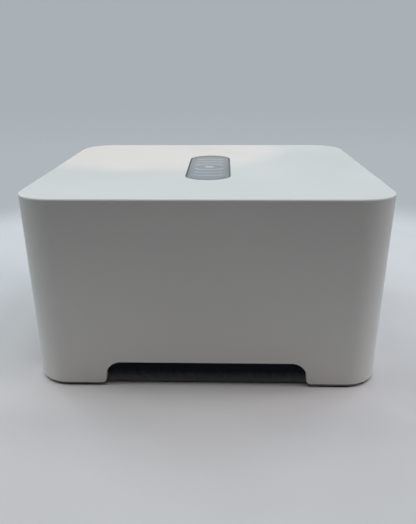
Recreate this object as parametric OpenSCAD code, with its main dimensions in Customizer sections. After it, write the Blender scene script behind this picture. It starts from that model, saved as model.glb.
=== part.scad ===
// Desktop wireless router in a tall square case, with its mains supply inside.
// +Z is up and the origin is on the standing surface, under the middle of the case.
// +X is the front, with the buttons and the light; -X is the rear, with the sockets.
// The two wide cutouts are in the sides, which face -Y and +Y.

/* [Case] */
// Length of the case along X, front to rear, at its widest level
case_l = 140; // [136:1:150]
// Width of the case along Y, side to side, at its widest level
case_w = 136; // [136:1:146]
// Height of the cover's top above the standing surface
case_h = 75.8; // [74:0.1:84]
// Radius of the four upright corners at the top
corner_r = 15.5; // [14:0.5:17]
// How far each side leans in between the top and the standing surface
side_lean = 2.3; // [1:0.1:2.6]
// Wall thickness of the cover
wall = 2.5; // [2.2:0.1:2.8]
// Thickness of the cover's top
top_wall = 2.6; // [2.2:0.1:3]
// Radius of the cover's top edge
edge_r = 0.8; // [0.6:0.1:1.8]
// Height of the cover's lower edge above the standing surface
cover_lift = 1.4; // [1.2:0.1:1.8]

/* [Side cutouts] */
// Width of the cutout at the foot of each side
cutout_w = 78.5; // [60:0.5:84]
// Height of the cutout's top above the standing surface
cutout_top = 10.5; // [8:0.1:11.5]
// Radius of the cutout's upper corners
cutout_r = 6; // [3:0.5:6]
// Radius where the cutout runs out into the cover's lower edge
cutout_flare = 1.8; // [1:0.1:2.5]
// How far the base's wall leans in behind the cutout, from its foot to its top
recess_lean = 4; // [0:0.5:4]

/* [Badge] */
// Length of the badge along Y
badge_l = 62; // [40:0.5:80]
// Width of the badge, which is also the diameter of its round ends
badge_w = 18.4; // [14:0.1:24]
// Thickness of the badge plate
badge_t = 0.9; // [0.6:0.1:1.2]
// Width of the groove round the badge
badge_gap = 0.35; // [0.2:0.05:0.5]
// Where the badge's middle lies along Y
badge_y = -2.4; // [-6:0.2:6]

/* [Base] */
// Height of the base plate's underside above the standing surface
foot_drop = 0.5; // [0.3:0.1:0.8]
// Thickness of the base plate
floor_t = 2.5; // [2.2:0.1:3]
// Height of the base's upright rim above the standing surface
rim_top = 12.5; // [12:0.1:13.5]
// Number of vent slots in the underside, near the front
vent_count = 5; // [3:1:5]
// Width of one vent slot
vent_w = 3; // [2:0.2:3.4]
// Diameter of one rubber foot
foot_d = 12; // [8:0.5:13]

/* [Rear] */
// Width of the rear window in the cover
window_w = 100; // [96:1:101]
// Height of the rear window's top edge above the standing surface
window_top = 66; // [64:0.5:67]
// Number of sockets in the network block
lan_count = 4; // [2:1:4]
// Spacing of the sockets in the network block
jack_pitch = 16; // [15.5:0.1:16]

/* [Controls] */
// Diameter of the two front buttons
button_d = 9; // [7:0.1:10]
// Distance of each front button from the middle of the front
button_y = 14; // [11:0.5:16]
// Height of the front buttons above the standing surface
button_z = 44; // [42:0.5:46]
// Travel of the front buttons and of the reset button
button_travel = 0.4; // [0.2:0.1:0.4]
// Angle that the power rocker turns through between off and on
rocker_swing = 22; // [16:1:24]

/* [Boards] */
// Thickness of the circuit boards
board_t = 1.6; // [1.2:0.1:1.6]
// Height of the supply board's underside above the standing surface
supply_z = 8; // [7.5:0.1:8.5]
// Height of the main board's underside above the standing surface
main_z = 46; // [45:0.5:47]

/* [Hidden] */
$fn = 48;

hl = case_l / 2;
hw = case_w / 2;
gap = 0.3;                  // clearance between two mouldings
slip = 0.05;                // clearance between a screw or pin and its hole
cut = 1;                    // how far a cutting shape runs past a face
base_top = foot_drop + floor_t;

// Screws: thread radius, head radius and head height
screw_r = 1.3;
head_r = 2.7;
head_h = 2;
hole_r = 1.7;

// Corner posts that the cover screws into
post_x = hl - 13;
post_y = hw - 13;
post_r = 4;
post_z = 10;
counterbore_z = 5.5;
cover_screw_l = 12;

// Case inside faces near the base, and the rim that stands inside them
rim_gap = 0.35;
rim_t = 2;

// Rear panel: outer face, thickness and how far it hides behind the cover
panel_x = -(hl - 5.1);
panel_t = 1.5;
panel_lap = 2;
panel_reach = window_w / 2 + panel_lap;
frame_t = 1.6;
panel_screws = [[42, 7], [42, 36]];

// Chassis shelf between the two boards
shelf_t = 1;
shelf_top = main_z - 4;
shelf_front = 48;
shelf_hw = 50;
shelf_foot_x = [-40, 30];
shelf_foot_y = 53;
shelf_foot_l = 7.5;

// Main board
main_rear = -62;
main_front = 50;
main_hw = 49.5;
main_top = main_z + board_t;
main_holes = [[-44, 46.5], [-44, -46.5], [40, 46.5], [44.5, -18]];

// Network sockets
jack_h = 13.5;
jack_depth = 16;
jack_hole_w = 11.8;
jack_hole_h = 8.2;
jack_front = panel_x - 0.3;
lan_y = 6;
wan_y = -36;
reset_y = 44;
reset_z = main_top + 3.5;

// Radio card
card_x = [-6, 47];
card_y = [14, 44];
card_z = 53;
card_t = 1;
card_post_x = 44.5;
card_posts_y = [17, 41];

// Processor and its heat sink
chip_x = 4;
chip_y = -16;
chip_w = 23;
chip_t = 2;
pad_t = 0.5;
sink_w = 36;
sink_base = 2.5;
sink_h = 12;
sink_fins = 8;

// Front board and buttons
front_x = 58.2;
boss_r = 2.8;
flange_w = 1.2;
front_screw_y = button_y + button_d / 2 + flange_w + boss_r + 0.5;
front_hw = front_screw_y + 3.2;
front_z = [button_z - 10, button_z + 10];
switch_w = 6;
switch_t = 3.5;
plunger_r = 1.75;
plunger_tip = front_x + switch_t + 1.2;
flange_x = hl - 3.9;
dish_r = 30;
dish_depth = 0.2;

// Supply board
supply_x = [-58, 34];
supply_hw = 32;
supply_top = supply_z + board_t;
supply_holes = [[-42, 28], [-42, -28], [30, 28], [30, -28]];
inlet_y = 16;
inlet_z = 19.4;
rocker_y = -14;
rocker_z = 19.4;
rocker_x = panel_x + 3.9;
rocker_w = 9.6;

// Antennas on the side walls
antenna_x = 8;
antenna_z = 58;
antenna_size = [44, 0.8, 14];
antenna_y = hw - 5.2;
antenna_peg_x = 18;

// Routes of the inner leads, by hand
lead_r = 0.65;
lead_left_route = [
    [8, 62.3, 54], [8, 59.5, 54.5], [14, 55, 60], [26, 50, 62],
    [36, 44, 60], [38, 37, 58], [38, 33.5, 57.3], [38, 33, 56.1]
];
lead_right_route = [
    [8, -62.3, 54], [8, -58, 54.8], [14, -50, 62], [26, -36, 66], [34, -14, 67],
    [38, 8, 66], [38, 20, 61], [38, 24.5, 58], [38, 25, 56.1]
];
harness_route = [
    [35, -18, 13.5], [40, -18.5, 14], [46, -22, 17], [51, -28, 24], [53.5, -34, 33],
    [54, -38.5, 43], [53.2, -40, 51], [51, -40, 54.5], [47.5, -40, 55]
];
harness_wires = 4;
harness_pitch = 2;

// ---------------------------------------------------------------- helpers

// How far a side has leaned in at height z
function lean(z) = side_lean * (case_h - z) / case_h;

// Outline of one leaning side from z0 to z1, as [distance, height], with a rounded top edge
edge_steps = 8;
function side_line(h, z0, z1, e) = concat(
    [[h - lean(z0), z0]],
    [for (i = [0:edge_steps])
        let (t = 90 * i / edge_steps)
        [h - lean(z1 - e) - e + e * cos(t), z1 - e + e * sin(t)]]
);
function flipped(line) = [for (i = [len(line) - 1:-1:0]) [-line[i][0], line[i][1]]];

// Box with leaning sides and round upright corners, half sizes a and b at the case's top
module leaning_box(a, b, r, z0, z1, e) {
    rotate([90, 0, 0])
        linear_extrude(2 * (b - r), center = true)
            polygon(concat(side_line(a, z0, z1, e), flipped(side_line(a, z0, z1, e))));
    for (s = [0, 1])
        mirror([0, s, 0])
            rotate([90, 0, 90])
                linear_extrude(2 * (a - r), center = true)
                    polygon(concat([[b - r, z0]], side_line(b, z0, z1, e), [[b - r, z1]]));
    for (i = [0:3])
        mirror([i % 2, 0, 0])
            mirror([0, floor(i / 2), 0])
                translate([a - r, b - r, 0])
                    rotate_extrude(angle = 90)
                        polygon(concat([[0, z0]], side_line(r, z0, z1, e), [[0, z1]]));
}

// Flat rectangle with round corners, half sizes a and b
module round_rect(a, b, r) {
    square([2 * a, 2 * (b - r)], center = true);
    square([2 * (a - r), 2 * b], center = true);
    for (x = [-1, 1], y = [-1, 1])
        translate([x * (a - r), y * (b - r)])
            circle(r);
}

// Slab with round corners between two heights
module slab(a, b, r, z0, z1) {
    translate([0, 0, z0])
        linear_extrude(z1 - z0)
            round_rect(a, b, r);
}

// Bar with round ends along Y, drawn flat
module stadium(l, w) {
    square([w, l - w], center = true);
    for (s = [-1, 1])
        translate([0, s * (l - w) / 2])
            circle(w / 2);
}

// Block given by its lowest and highest corners
module block(low, high) {
    translate(low)
        cube(high - low);
}

// Cylinder along +X or -X from x0 to x1
module rod_x(x0, x1, y, z, r) {
    translate([x0, y, z])
        rotate([0, 90, 0])
            cylinder(h = x1 - x0, r = r);
}

// Upright cylinder between two heights
module rod_z(x, y, z0, z1, r) {
    translate([x, y, z0])
        cylinder(h = z1 - z0, r = r);
}

// Pan-head screw at the origin with its head above z = 0 and its thread below
module screw(l, r = screw_r, head = head_r) {
    difference() {
        union() {
            translate([0, 0, -l])
                cylinder(h = l, r = r);
            cylinder(h = head_h * 0.6, r = head);
            translate([0, 0, head_h * 0.6])
                cylinder(h = head_h * 0.4, r1 = head, r2 = head * 0.75);
        }
        for (a = [0, 90])
            rotate(a)
                translate([-head * 0.55, -0.3, head_h * 0.45])
                    cube([head * 1.1, 0.6, head_h]);
    }
}

// Puts a copy at each of the four mirrored places of [x, y]
module four(x, y) {
    for (sx = [0, 1], sy = [0, 1])
        mirror([sx, 0, 0])
            mirror([0, sy, 0])
                translate([x, y, 0])
                    children();
}

// Points of a smooth curve through a route, with a few steps between its points
route_steps = 5;
function spline(p0, p1, p2, p3, t) = 0.5 * (
    2 * p1 + (p2 - p0) * t + (2 * p0 - 5 * p1 + 4 * p2 - p3) * t * t
    + (3 * p1 - p0 - 3 * p2 + p3) * t * t * t
);
function smooth(route) = let (n = len(route)) concat(
    [for (i = [0:n - 2], k = [0:route_steps - 1])
        spline(route[max(i - 1, 0)], route[i], route[i + 1], route[min(i + 2, n - 1)],
               k / route_steps)],
    [route[n - 1]]
);
function unit(v) = v / norm(v);

// The side direction of each ring along a list of points, carried on without twisting
function heading(points, i) = unit(points[min(i + 1, len(points) - 1)] - points[max(i - 1, 0)]);
function carried(points, i, side) = i == len(points) ? [] :
    let (along = heading(points, i), next = unit(side - (side * along) * along))
    concat([next], carried(points, i + 1, next));

// Round tube swept along a list of points, with a fixed number of sides
tube_sides = 8;
module tube(points, r, first_side = [1, 0.2, 0]) {
    n = len(points);
    sides = carried(points, 0, first_side);
    rings = [for (i = [0:n - 1], k = [0:tube_sides - 1])
        let (t = 360 * k / tube_sides)
        points[i] + r * (cos(t) * sides[i] + sin(t) * cross(heading(points, i), sides[i]))];
    polyhedron(
        points = rings,
        faces = concat(
            [[for (k = [0:tube_sides - 1]) k]],
            [for (i = [0:n - 2], k = [0:tube_sides - 1])
                let (a = i * tube_sides, b = a + tube_sides, j = (k + 1) % tube_sides)
                [a + k, b + k, b + j, a + j]],
            [[for (k = [tube_sides - 1:-1:0]) (n - 1) * tube_sides + k]]
        )
    );
}

// ---------------------------------------------------------------- case

// Outline of a side cutout, wider at its foot where it meets the lower edge
module cutout_outline() {
    w = cutout_w / 2;
    translate([-w, -cut])
        square([2 * w, cutout_top - cutout_r + cut]);
    translate([-w + cutout_r, 0])
        square([2 * (w - cutout_r), cutout_top]);
    for (s = [-1, 1]) {
        translate([s * (w - cutout_r), cutout_top - cutout_r])
            circle(cutout_r);
        difference() {
            translate([s * w, 0] - [s < 0 ? cutout_flare : 0, 0])
                square([cutout_flare, cover_lift + cutout_flare]);
            translate([s * (w + cutout_flare), cover_lift + cutout_flare])
                circle(cutout_flare);
        }
    }
}

// Outline of the rear window, which is open at the foot; extra widens it on all sides
module window_outline(extra) {
    r = cutout_r + extra;
    a = window_w / 2 + extra;
    top = window_top + extra;
    translate([-a, -cut])
        square([2 * a, top - r + cut]);
    translate([-a + r, 0])
        square([2 * (a - r), top]);
    for (s = [-1, 1])
        translate([s * (a - r), top - r])
            circle(r);
}

// Places a flat outline upright in the plane across X, running from x0 to x1
module across_x(x0, x1) {
    translate([x0, 0, 0])
        rotate([90, 0, 90])
            linear_extrude(x1 - x0)
                children();
}

module cover_post() {
    rod_z(0, 0, post_z, case_h - top_wall + cut, post_r);
}

// Rib that ties a corner post to the cover's corner, above the base's rim
module corner_rib() {
    rotate(45)
        translate([post_r - 1, -0.8, rim_top + gap])
            cube([10, 1.6, case_h - top_wall - rim_top]);
}

// Pegs that carry an antenna: a shoulder on the wall, a shank through the board, a flat head
module antenna_pegs(side) {
    for (x = [-1, 1])
        translate([antenna_x + x * antenna_peg_x, side * antenna_y, antenna_z])
            rotate([side * -90, 0, 0]) {
                translate([0, 0, -0.7])
                    cylinder(h = 4, r = 1.2);
                translate([0, 0, 0.45])
                    cylinder(h = 2.6, r = 2);
                translate([0, 0, -1.5])
                    cylinder(h = 1, r = 2);
            }
}

module top_cover() {
    color([0.9, 0.92, 0.92])
    difference() {
        union() {
            difference() {
                leaning_box(hl, hw, corner_r, cover_lift, case_h, edge_r);
                leaning_box(hl - wall, hw - wall, corner_r - wall,
                            cover_lift - cut, case_h - top_wall, 0.5);
            }
            four(post_x, post_y)
                cover_post();
            intersection() {
                four(post_x, post_y)
                    corner_rib();
                leaning_box(hl - wall / 2, hw - wall / 2, corner_r - wall / 2, 0, case_h - edge_r, 0.5);
            }
            across_x(-(hl - 2.5), panel_x - gap)
                difference() {
                    intersection() {
                        window_outline(frame_t);
                        translate([-hw, cover_lift])
                            square([case_w, case_h]);
                    }
                    window_outline(-0.01);
                }
            for (s = [-1, 1])
                rod_x(front_x, hl - 2.2, s * front_screw_y, button_z, boss_r);
            antenna_pegs(1);
            antenna_pegs(-1);
        }
        rotate([90, 0, 0])
            linear_extrude(case_w + cut, center = true)
                cutout_outline();
        across_x(-hl - cut, panel_x)
            window_outline(0);
        for (s = [-1, 1])
            rod_x(hl - 8, hl + cut, s * button_y, button_z, button_d / 2 + 0.2);
        rod_x(hl - 8, hl + cut, 0, button_z, 1.6);
        translate([0, badge_y, case_h - badge_t - 0.25])
            linear_extrude(badge_t + cut)
                stadium(badge_l + 2 * badge_gap, badge_w + 2 * badge_gap);
        four(post_x, post_y)
            rod_z(0, 0, post_z - cut, post_z + cover_screw_l, screw_r + slip);
        for (s = [-1, 1])
            rod_x(front_x - cut, front_x + 6, s * front_screw_y, button_z, screw_r + slip);
    }
}

module badge_adhesive() {
    color([0.8, 0.8, 0.75])
    translate([0, badge_y, case_h - badge_t - 0.25])
        linear_extrude(0.15)
            stadium(badge_l - 2, badge_w - 2);
}

// The badge's motif: a dot with curved waves on both sides of it
module badge_marks() {
    wave_w = 1.3;
    reach = badge_w / 3;
    circle(2.2);
    for (s = [0, 180], r = [7.5, 14, 20.5])
        rotate(s)
            intersection() {
                difference() {
                    circle(r + wave_w / 2);
                    circle(r - wave_w / 2);
                }
                translate([-reach, 0])
                    square([2 * reach, r + wave_w]);
            }
}

badge_z = case_h - 0.1;     // the badge's face lies just under the cover's top
inlay_t = 0.3;

module badge_plate() {
    color([0.55, 0.6, 0.63])
    difference() {
        translate([0, badge_y, badge_z - badge_t])
            linear_extrude(badge_t)
                stadium(badge_l, badge_w);
        translate([0, badge_y, badge_z - inlay_t])
            linear_extrude(inlay_t + cut)
                badge_marks();
        translate([0, badge_y, badge_z - 0.15])
            linear_extrude(cut)
                difference() {
                    stadium(badge_l - 2.4, badge_w - 2.4);
                    stadium(badge_l - 3.2, badge_w - 3.2);
                }
    }
}

module badge_inlay() {
    color([0.85, 0.88, 0.9])
    translate([0, badge_y, badge_z - inlay_t])
        linear_extrude(inlay_t)
            badge_marks();
}

// ---------------------------------------------------------------- base

rim_a = hl - lean(cover_lift) - wall - rim_gap;
rim_b = hw - lean(cover_lift) - wall - rim_gap;
rim_r = corner_r - lean(cover_lift) - wall - rim_gap;
flange_in = 0.5;
vent_pitch = 6;
vent_l = 56;
foot_x = 47;
foot_y = 45;
label_size = [50, 34];
label_at = [-20, 0];

// Slots in the underside that let air in, in one row near the front and one along each side
module floor_vents() {
    for (i = [0:vent_count - 1])
        translate([58 - i * vent_pitch, 0, foot_drop - cut])
            linear_extrude(floor_t + 2 * cut)
                stadium(vent_l, vent_w);
    for (s = [-1, 1], i = [0:9])
        translate([(i - 4.5) * vent_pitch - 8, s * (shelf_foot_y - 9), foot_drop - cut])
            linear_extrude(floor_t + 2 * cut)
                stadium(10, vent_w);
}

// Outer face of the wall behind a cutout at height z
function recess_y(z) = rim_b - recess_lean * (z - foot_drop) / (rim_top - foot_drop);

// Bar of one cross-section, given as [y, z], on both sides of the case
module side_bars(half, profile) {
    for (s = [0, 1])
        mirror([0, s, 0])
            rotate([90, 0, 90])
                linear_extrude(2 * half, center = true)
                    polygon(profile);
}

recess_half = cutout_w / 2 + 1;

// Leaning wall behind each cutout, with the cheeks that join it to the rim
module recess_walls() {
    foot = base_top - 0.5;
    side_bars(recess_half + rim_t, [
        [recess_y(foot) - rim_t, foot], [rim_b, foot], [rim_b, rim_top], [recess_y(rim_top) - rim_t, rim_top]
    ]);
}

// Space in front of each leaning wall
module recess_spaces() {
    low = foot_drop - cut;
    high = rim_top + cut;
    side_bars(recess_half, [[recess_y(low), low], [hw, low], [hw, high], [recess_y(high), high]]);
}

module base_tray() {
    color([0.09, 0.1, 0.12])
    difference() {
        union() {
            slab(rim_a + rim_gap + wall - flange_in, rim_b + rim_gap + wall - flange_in,
                 rim_r + rim_gap + wall - flange_in, foot_drop, cover_lift - 0.02);
            slab(rim_a, rim_b, rim_r, foot_drop, base_top);
            difference() {
                slab(rim_a, rim_b, rim_r, base_top - 0.5, rim_top);
                slab(rim_a - rim_t, rim_b - rim_t, rim_r - rim_t, base_top - cut, rim_top + cut);
                block([-hl, -panel_reach - gap, base_top], [-hl + 20, panel_reach + gap, rim_top + cut]);
            }
            recess_walls();
            four(post_x, post_y)
                rod_z(0, 0, foot_drop, post_z, post_r);
            for (p = supply_holes)
                rod_z(p[0], p[1], foot_drop + 1, supply_z, 3);
            for (x = shelf_foot_x, s = [-1, 1])
                rod_z(x, s * shelf_foot_y, foot_drop + 1, supply_z, 3.4);
            for (s = [-1, 1])
                block([panel_x + panel_t, s * panel_screws[0][0] - 4, foot_drop + 1],
                      [panel_x + panel_t + 8, s * panel_screws[0][0] + 4, 11]);
        }
        recess_spaces();
        four(foot_x, foot_y)
            rod_z(0, 0, foot_drop - cut, foot_drop + 1.3, foot_d / 2 + 0.1);
        four(post_x, post_y) {
            rod_z(0, 0, foot_drop - cut, counterbore_z, head_r + 0.5);
            rod_z(0, 0, 0, post_z + cut, hole_r);
        }
        for (p = supply_holes)
            rod_z(p[0], p[1], supply_z - 5.5, supply_z + cut, screw_r + slip);
        for (x = shelf_foot_x, s = [-1, 1])
            rod_z(x, s * shelf_foot_y, supply_z - 5.5, supply_z + cut, screw_r + slip);
        for (s = [-1, 1])
            rod_x(panel_x, panel_x + panel_t + 6, s * panel_screws[0][0], panel_screws[0][1],
                  screw_r + slip);
        floor_vents();
        translate([label_at[0], label_at[1], foot_drop - cut])
            linear_extrude(cut + 0.2)
                round_rect(label_size[0] / 2 + 0.3, label_size[1] / 2 + 0.3, 2);
    }
}

module rubber_feet() {
    color([0.15, 0.15, 0.16])
    four(foot_x, foot_y) {
        cylinder(h = 0.4, r1 = foot_d / 2 - 0.4, r2 = foot_d / 2);
        translate([0, 0, 0.4])
            cylinder(h = foot_drop + 1.3 - 0.4, r = foot_d / 2);
    }
}

module cover_screws() {
    color([0.6, 0.6, 0.62])
    four(post_x, post_y)
        translate([0, 0, counterbore_z])
            rotate([180, 0, 0])
                screw(cover_screw_l);
}

module rating_label() {
    color([0.75, 0.76, 0.77])
    translate([label_at[0], label_at[1], foot_drop + 0.05])
        linear_extrude(0.15)
            round_rect(label_size[0] / 2, label_size[1] / 2, 1.8);
}

// ---------------------------------------------------------------- rear panel

// Width of the network block and of the single socket
lan_w = lan_count * jack_pitch;
wan_w = jack_pitch;

// Slots that let warm air out, through the rear panel and the shelf's upright edge
module rear_vents() {
    for (i = [0:10])
        across_x(panel_x - cut, panel_x + 6)
            translate([(i - 5) * vent_pitch, 36.5])
                stadium(8, 2.4);
}

module rear_panel() {
    color([0.13, 0.14, 0.16])
    difference() {
        block([panel_x, -panel_reach, base_top + 0.05],
              [panel_x + panel_t, panel_reach, window_top + panel_lap]);
        for (j = [[lan_y, lan_w], [wan_y, wan_w]])
            block([panel_x - cut, j[0] - j[1] / 2 - 0.15, main_top - 0.15],
                  [panel_x + panel_t + cut, j[0] + j[1] / 2 + 0.15, main_top + jack_h + 0.15]);
        rod_x(panel_x - cut, panel_x + panel_t + cut, reset_y, reset_z, 1.4);
        across_x(panel_x - cut, panel_x + panel_t + cut)
            translate([inlet_y, inlet_z])
                round_rect(10.35, 6.35, 2);
        block([panel_x - cut, rocker_y - 6.4, rocker_z - 9.5],
              [panel_x + panel_t + cut, rocker_y + 6.4, rocker_z + 9.5]);
        for (p = panel_screws, s = [-1, 1])
            rod_x(panel_x - cut, panel_x + panel_t + cut, s * p[0], p[1], hole_r);
        rear_vents();
    }
}

module rear_panel_screws() {
    color([0.55, 0.55, 0.57])
    for (p = panel_screws, s = [-1, 1])
        translate([panel_x, s * p[0], p[1]])
            rotate([0, -90, 0])
                screw(5);
}

// ---------------------------------------------------------------- chassis

module chassis_shelf() {
    shelf_rear = panel_x + panel_t;
    color([0.72, 0.73, 0.74])
    difference() {
        union() {
            block([shelf_rear, -shelf_hw, shelf_top - shelf_t], [shelf_front, shelf_hw, shelf_top]);
            block([shelf_rear, -shelf_hw, 31], [shelf_rear + shelf_t, shelf_hw, shelf_top]);
            for (s = [0, 1])
                mirror([0, s, 0]) {
                    block([-50, shelf_hw - shelf_t, supply_z], [38, shelf_hw, shelf_top]);
                    for (x = shelf_foot_x)
                        block([x - 5, shelf_hw - shelf_t, supply_z],
                              [x + 5, shelf_hw + shelf_foot_l, supply_z + shelf_t]);
                }
            for (p = main_holes)
                rod_z(p[0], p[1], shelf_top - shelf_t, main_z, 3);
        }
        for (x = shelf_foot_x, s = [-1, 1])
            rod_z(x, s * shelf_foot_y, 0, supply_z + 2, hole_r);
        for (p = main_holes)
            rod_z(p[0], p[1], shelf_top - 2, main_z + cut, screw_r + slip);
        for (s = [-1, 1])
            rod_x(shelf_rear - cut, shelf_rear + 3, s * panel_screws[1][0], panel_screws[1][1],
                  screw_r + slip);
        rear_vents();
        for (x = [-40:12:32], y = [-24:12:24])
            rod_z(x, y, shelf_top - 2, shelf_top + cut, 3);
        for (x = [-40:16:24], s = [-1, 1])
            translate([x, s * shelf_hw, 24])
                rotate([90, 0, 0])
                    cylinder(h = 8, r = 5, center = true);
    }
}

module shelf_screws() {
    color([0.6, 0.6, 0.62])
    for (x = shelf_foot_x, s = [-1, 1])
        translate([x, s * shelf_foot_y, supply_z + shelf_t])
            screw(5.5);
}

// ---------------------------------------------------------------- main board

module main_board() {
    color([0.05, 0.3, 0.18])
    difference() {
        block([main_rear, -main_hw, main_z], [main_front, main_hw, main_top]);
        for (p = main_holes)
            rod_z(p[0], p[1], main_z - cut, main_top + cut, hole_r);
        for (s = [-1, 1])
            translate([main_front, s * main_hw, main_z - cut])
                rotate(45)
                    cube([8, 8, 9], center = true);
    }
}

module main_board_screws() {
    color([0.6, 0.6, 0.62])
    for (p = main_holes)
        translate([p[0], p[1], main_top])
            screw(4.6);
}

// One network socket's hole, with the key way for the plug's latch, seen from the rear
module jack_hole() {
    block([jack_front - cut, -jack_hole_w / 2, 1.6],
          [jack_front + 12.5, jack_hole_w / 2, 1.6 + jack_hole_h]);
    block([jack_front - cut, -3.2, 1.6 + jack_hole_h - 0.1],
          [jack_front + 10, 3.2, 1.6 + jack_hole_h + 2]);
}

module jack(y, w, count) {
    difference() {
        block([jack_front, y - w / 2, main_top], [jack_front + jack_depth, y + w / 2, main_top + jack_h]);
        for (i = [0:count - 1])
            translate([0, y + (i - (count - 1) / 2) * jack_pitch, main_top])
                jack_hole();
    }
}

module lan_jack_block() {
    color([0.2, 0.2, 0.22])
    jack(lan_y, lan_w, lan_count);
}

module wan_jack() {
    color([0.15, 0.3, 0.55])
    jack(wan_y, wan_w, 1);
}

module lan_magnetics() {
    color([0.07, 0.07, 0.08])
    for (y = [wan_y, lan_y - 16, lan_y + 16])
        block([-46, y - 7, main_top], [-37, y + 7, main_top + 4]);
}

module switch_chip() {
    color([0.08, 0.08, 0.09])
    block([-31, 0, main_top], [-13, 18, main_top + 1.5]);
}

module processor() {
    color([0.1, 0.1, 0.11])
    block([chip_x - chip_w / 2, chip_y - chip_w / 2, main_top],
          [chip_x + chip_w / 2, chip_y + chip_w / 2, main_top + chip_t]);
}

module thermal_pad() {
    color([0.6, 0.75, 0.85])
    block([chip_x - 9, chip_y - 9, main_top + chip_t], [chip_x + 9, chip_y + 9, main_top + chip_t + pad_t]);
}

sink_z = main_top + chip_t + pad_t;
sink_pin = sink_w / 2 - 3;

module heat_sink() {
    pitch = (sink_w - 1.2) / (sink_fins - 1);
    color([0.75, 0.77, 0.8])
    translate([chip_x, chip_y, 0])
        difference() {
            union() {
                block([-sink_w / 2, -sink_w / 2, sink_z], [sink_w / 2, sink_w / 2, sink_z + sink_base]);
                for (i = [0:sink_fins - 1])
                    translate([-sink_w / 2, -sink_w / 2 + i * pitch, sink_z])
                        cube([sink_w, 1.2, sink_h]);
            }
            for (s = [-1, 1])
                translate([s * sink_pin, s * sink_pin, sink_z - cut]) {
                    cylinder(h = 10, r = hole_r);
                    translate([0, 0, cut + sink_base])
                        cylinder(h = sink_h, r = 3);
                }
        }
}

module heat_sink_pins() {
    color([0.9, 0.9, 0.85])
    translate([chip_x, chip_y, 0])
        for (s = [-1, 1]) {
            rod_z(s * sink_pin, s * sink_pin, main_top + 0.02, sink_z + sink_base + 0.02, 1.5);
            rod_z(s * sink_pin, s * sink_pin, sink_z + sink_base + 0.02, sink_z + sink_base + 5, 2.6);
        }
}

module memory_chips() {
    color([0.1, 0.1, 0.11])
    for (y = [-44, -31])
        block([30, y, main_top], [40, y + 11, main_top + 1.2]);
}

module board_capacitors() {
    color([0.2, 0.25, 0.45])
    for (p = [[-30, -42], [-20, -42], [-10, -42], [-30, -30]])
        rod_z(p[0], p[1], main_top, main_top + 11, 4);
}

module card_socket() {
    color([0.1, 0.1, 0.1])
    difference() {
        block([card_x[0] - 4, card_y[0] + 1, main_top], [card_x[0] + 3, card_y[1] - 1, card_z + 2.4]);
        block([card_x[0] - 0.02, 0, card_z - 0.03], [card_x[0] + 10, 60, card_z + card_t + 0.03]);
    }
}

module radio_card() {
    color([0.05, 0.2, 0.4])
    difference() {
        block([card_x[0], card_y[0], card_z], [card_x[1], card_y[1], card_z + card_t]);
        for (y = card_posts_y)
            rod_z(card_post_x, y, card_z - cut, card_z + 2 * cut, 1.3);
    }
}

module radio_shield() {
    color([0.8, 0.8, 0.8])
    difference() {
        block([4, 17, card_z + card_t], [32, 41, card_z + card_t + 2.4]);
        block([4.4, 17.4, card_z], [31.6, 40.6, card_z + card_t + 2]);
    }
}

module card_standoffs() {
    color([0.8, 0.65, 0.3])
    for (y = card_posts_y)
        difference() {
            rod_z(card_post_x, y, main_top, card_z, 2.2);
            rod_z(card_post_x, y, main_top + 1, card_z + cut, 1.05);
        }
}

module card_screws() {
    color([0.6, 0.6, 0.62])
    for (y = card_posts_y)
        translate([card_post_x, y, card_z + card_t])
            screw(4, 1, 2.1);
}

// ---------------------------------------------------------------- antennas

module antenna(side) {
    color([0.1, 0.35, 0.2])
    translate([antenna_x, side * antenna_y, antenna_z])
        difference() {
            cube(antenna_size, center = true);
            for (x = [-1, 1])
                translate([x * antenna_peg_x, 0, 0])
                    rotate([90, 0, 0])
                        cylinder(h = 4, r = 1.3, center = true);
            translate([0, 0, 5])
                cube([24, 4, 1.2], center = true);
        }
}

module antenna_left() {
    antenna(1);
}

module antenna_right() {
    antenna(-1);
}

// A lead ends in a small round connector that sits on the radio card
module antenna_lead(route) {
    color([0.12, 0.12, 0.12]) {
        tube(smooth(route), lead_r);
        rod_z(route[len(route) - 1][0], route[len(route) - 1][1],
              card_z + card_t, card_z + card_t + 2.4, 1.6);
    }
}

module antenna_lead_left() {
    antenna_lead(lead_left_route);
}

module antenna_lead_right() {
    antenna_lead(lead_right_route);
}

// ---------------------------------------------------------------- reset

reset_rod = 1.1;

module reset_switch() {
    color([0.12, 0.12, 0.13])
    difference() {
        block([-60, reset_y - 3.2, main_top], [-55.5, reset_y + 3.2, main_top + 7]);
        rod_x(-61, -57, reset_y, reset_z, reset_rod + slip);
    }
}

module reset_button() {
    color([0.75, 0.2, 0.15])
    rod_x(panel_x + 0.9, -57.6, reset_y, reset_z, reset_rod);
}

// ---------------------------------------------------------------- front controls

module front_board() {
    color([0.05, 0.3, 0.18])
    difference() {
        block([front_x - board_t, -front_hw, front_z[0]], [front_x - 0.02, front_hw, front_z[1]]);
        for (s = [-1, 1])
            rod_x(front_x - board_t - cut, front_x + cut, s * front_screw_y, button_z, hole_r);
    }
}

module front_board_screws() {
    color([0.6, 0.6, 0.62])
    for (s = [-1, 1])
        translate([front_x - board_t, s * front_screw_y, button_z])
            rotate([0, -90, 0])
                screw(6);
}

module button_switches() {
    h = switch_w / 2;
    color([0.15, 0.15, 0.16])
    for (s = [-1, 1])
        difference() {
            block([front_x, s * button_y - h, button_z - h],
                  [front_x + switch_t, s * button_y + h, button_z + h]);
            rod_x(front_x + 1.5, front_x + switch_t + cut, s * button_y, button_z, plunger_r + slip);
        }
}

module switch_plunger(side) {
    color([0.85, 0.85, 0.85])
    rod_x(front_x + 1.5 + button_travel + 0.2, plunger_tip, side * button_y, button_z, plunger_r);
}

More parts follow.
